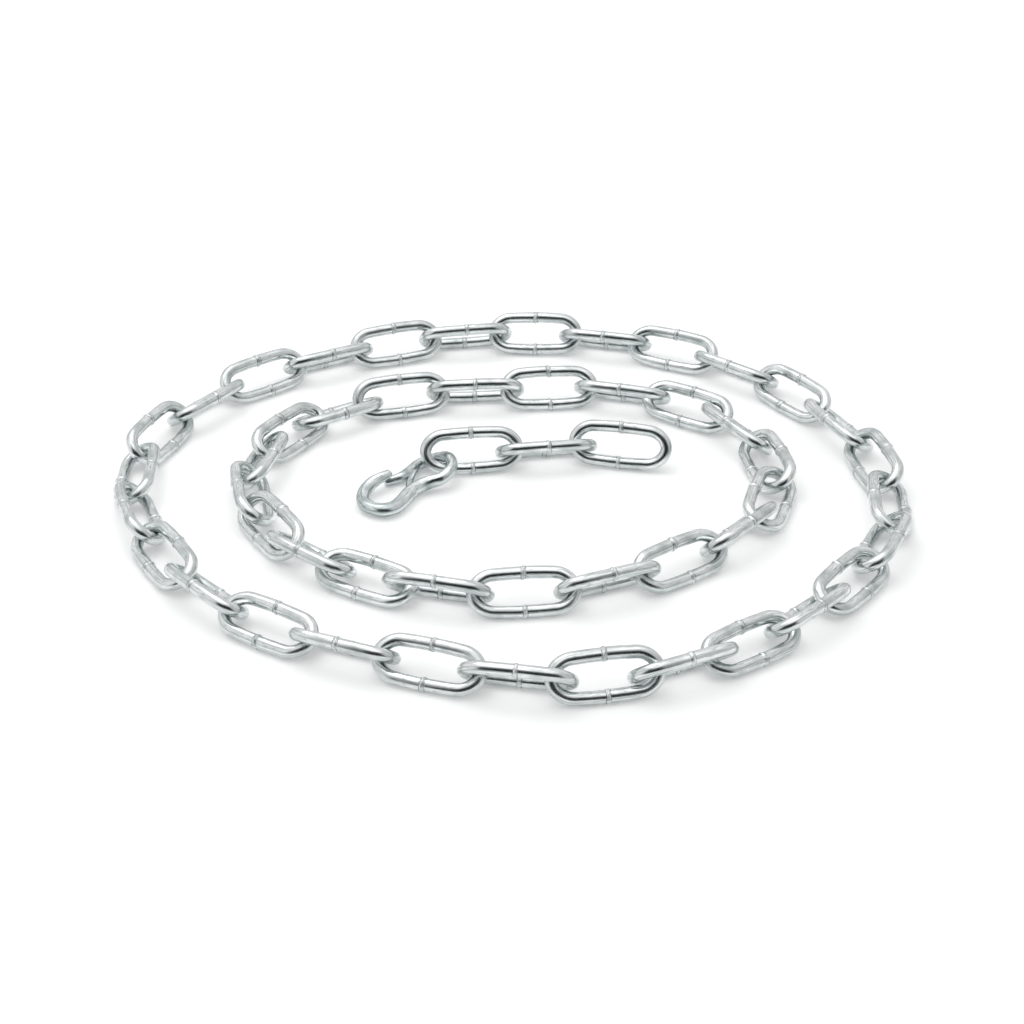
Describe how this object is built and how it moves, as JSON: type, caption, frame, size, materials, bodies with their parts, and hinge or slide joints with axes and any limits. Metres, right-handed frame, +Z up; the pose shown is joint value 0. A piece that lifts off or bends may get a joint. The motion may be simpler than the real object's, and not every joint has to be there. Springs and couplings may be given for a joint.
{
  "type": "heap of long-link steel chain with a formed-wire hook",
  "caption": "Long-link welded steel chain laid flat as one ring inside another, with a short free tail that ends in a formed-wire hook.",
  "frame": {"origin": "middle of the laid chain's box, on the floor", "axes": "+X along the rings' long way, +Y along their short way, +Z up from the floor; the hook lies on the -X side of the middle and opens towards -X"},
  "size_m": [0.3288, 0.2828, 0.0187],
  "materials": {
    "link_wire": "bright zinc plate on drawn and welded steel wire",
    "hook_wire": "bright zinc plate on formed steel wire"
  },
  "bodies": {
    "root": {"hook": "hook_wire", "inner_link_01": "link_wire", "inner_link_02": "link_wire", "inner_link_03": "link_wire", "inner_link_04": "link_wire", "inner_link_05": "link_wire", "inner_link_06": "link_wire", "inner_link_07": "link_wire", "inner_link_08": "link_wire", "inner_link_09": "link_wire", "inner_link_10": "link_wire", "inner_link_11": "link_wire", "inner_link_12": "link_wire", "inner_link_13": "link_wire", "inner_link_14": "link_wire", "inner_link_15": "link_wire", "inner_link_16": "link_wire", "inner_link_17": "link_wire", "inner_link_18": "link_wire", "inner_link_19": "link_wire", "inner_link_20": "link_wire", "outer_link_01": "link_wire", "outer_link_02": "link_wire", "outer_link_03": "link_wire", "outer_link_04": "link_wire", "outer_link_05": "link_wire", "outer_link_06": "link_wire", "outer_link_07": "link_wire", "outer_link_08": "link_wire", "outer_link_09": "link_wire", "outer_link_10": "link_wire", "outer_link_11": "link_wire", "outer_link_12": "link_wire", "outer_link_13": "link_wire", "outer_link_14": "link_wire", "outer_link_15": "link_wire", "outer_link_16": "link_wire", "outer_link_17": "link_wire", "outer_link_18": "link_wire", "outer_link_19": "link_wire", "outer_link_20": "link_wire", "outer_link_21": "link_wire", "outer_link_22": "link_wire", "outer_link_23": "link_wire", "outer_link_24": "link_wire", "outer_link_25": "link_wire", "outer_link_26": "link_wire", "outer_link_27": "link_wire", "outer_link_28": "link_wire", "tail_link_01": "link_wire", "tail_link_02": "link_wire", "tail_link_03": "link_wire"}
  },
  "joints": []
}
